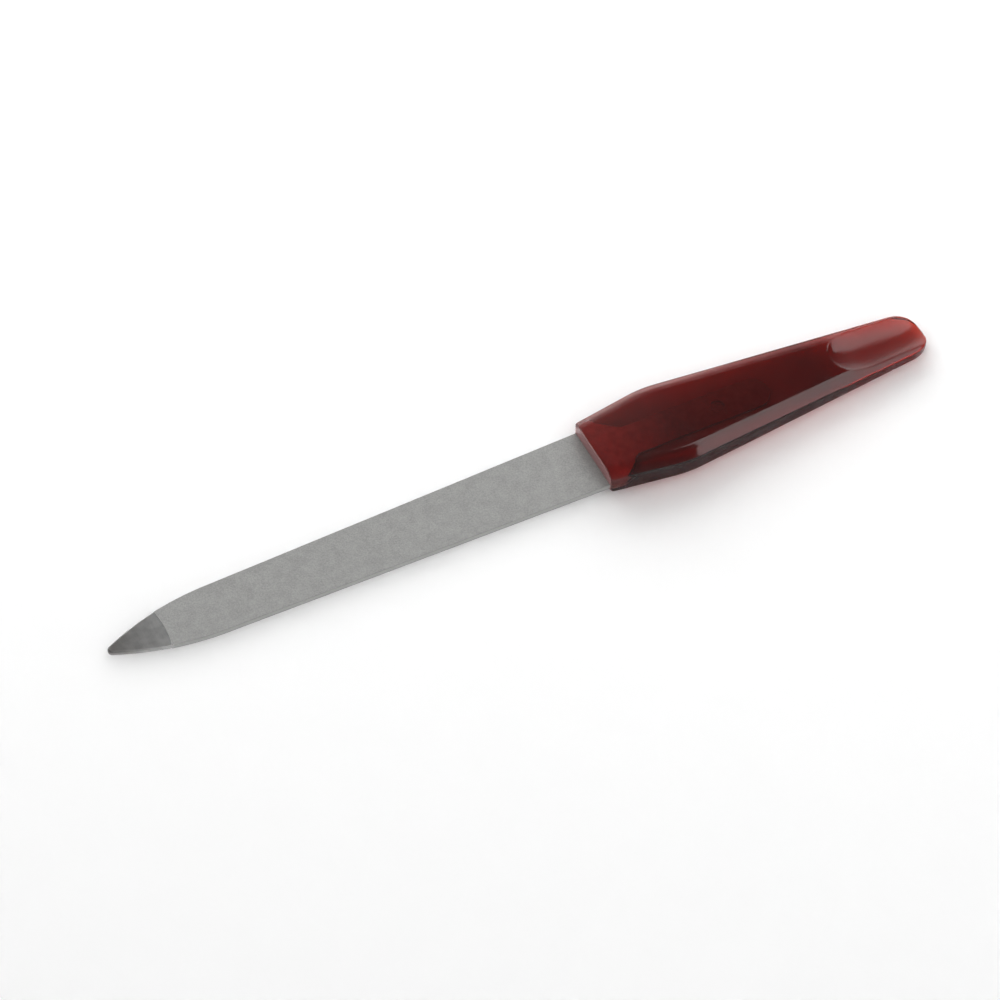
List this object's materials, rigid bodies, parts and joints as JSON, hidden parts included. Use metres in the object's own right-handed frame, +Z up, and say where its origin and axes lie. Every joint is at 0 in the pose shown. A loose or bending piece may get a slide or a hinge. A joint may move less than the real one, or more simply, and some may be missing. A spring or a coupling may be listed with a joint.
{
  "type": "metal nail file",
  "caption": "Flat pointed steel nail file coated with fine grit on both faces, with a bare metal cleaning tip and a moulded translucent red handle with a thumb scoop.",
  "frame": {"origin": "halfway along the file, on its middle line, at the height of the handle's flat underside", "axes": "+X from the blade's tip to the handle's end, +Y across the blade, +Z up out of the face with the thumb scoop"},
  "size_m": [0.1546, 0.0178, 0.0042],
  "materials": {
    "blade_steel": "ground bare steel, satin, with a polished bevel along the tip",
    "grit": "matt grey bonded abrasive with a fine sparkle",
    "handle_plastic": "clear deep red, glossy, moulded in one piece over the tang"
  },
  "bodies": {
    "root": {"steel_blank": "blade_steel", "grit_coat_top": "grit", "grit_coat_bottom": "grit", "handle": "handle_plastic"}
  },
  "joints": []
}
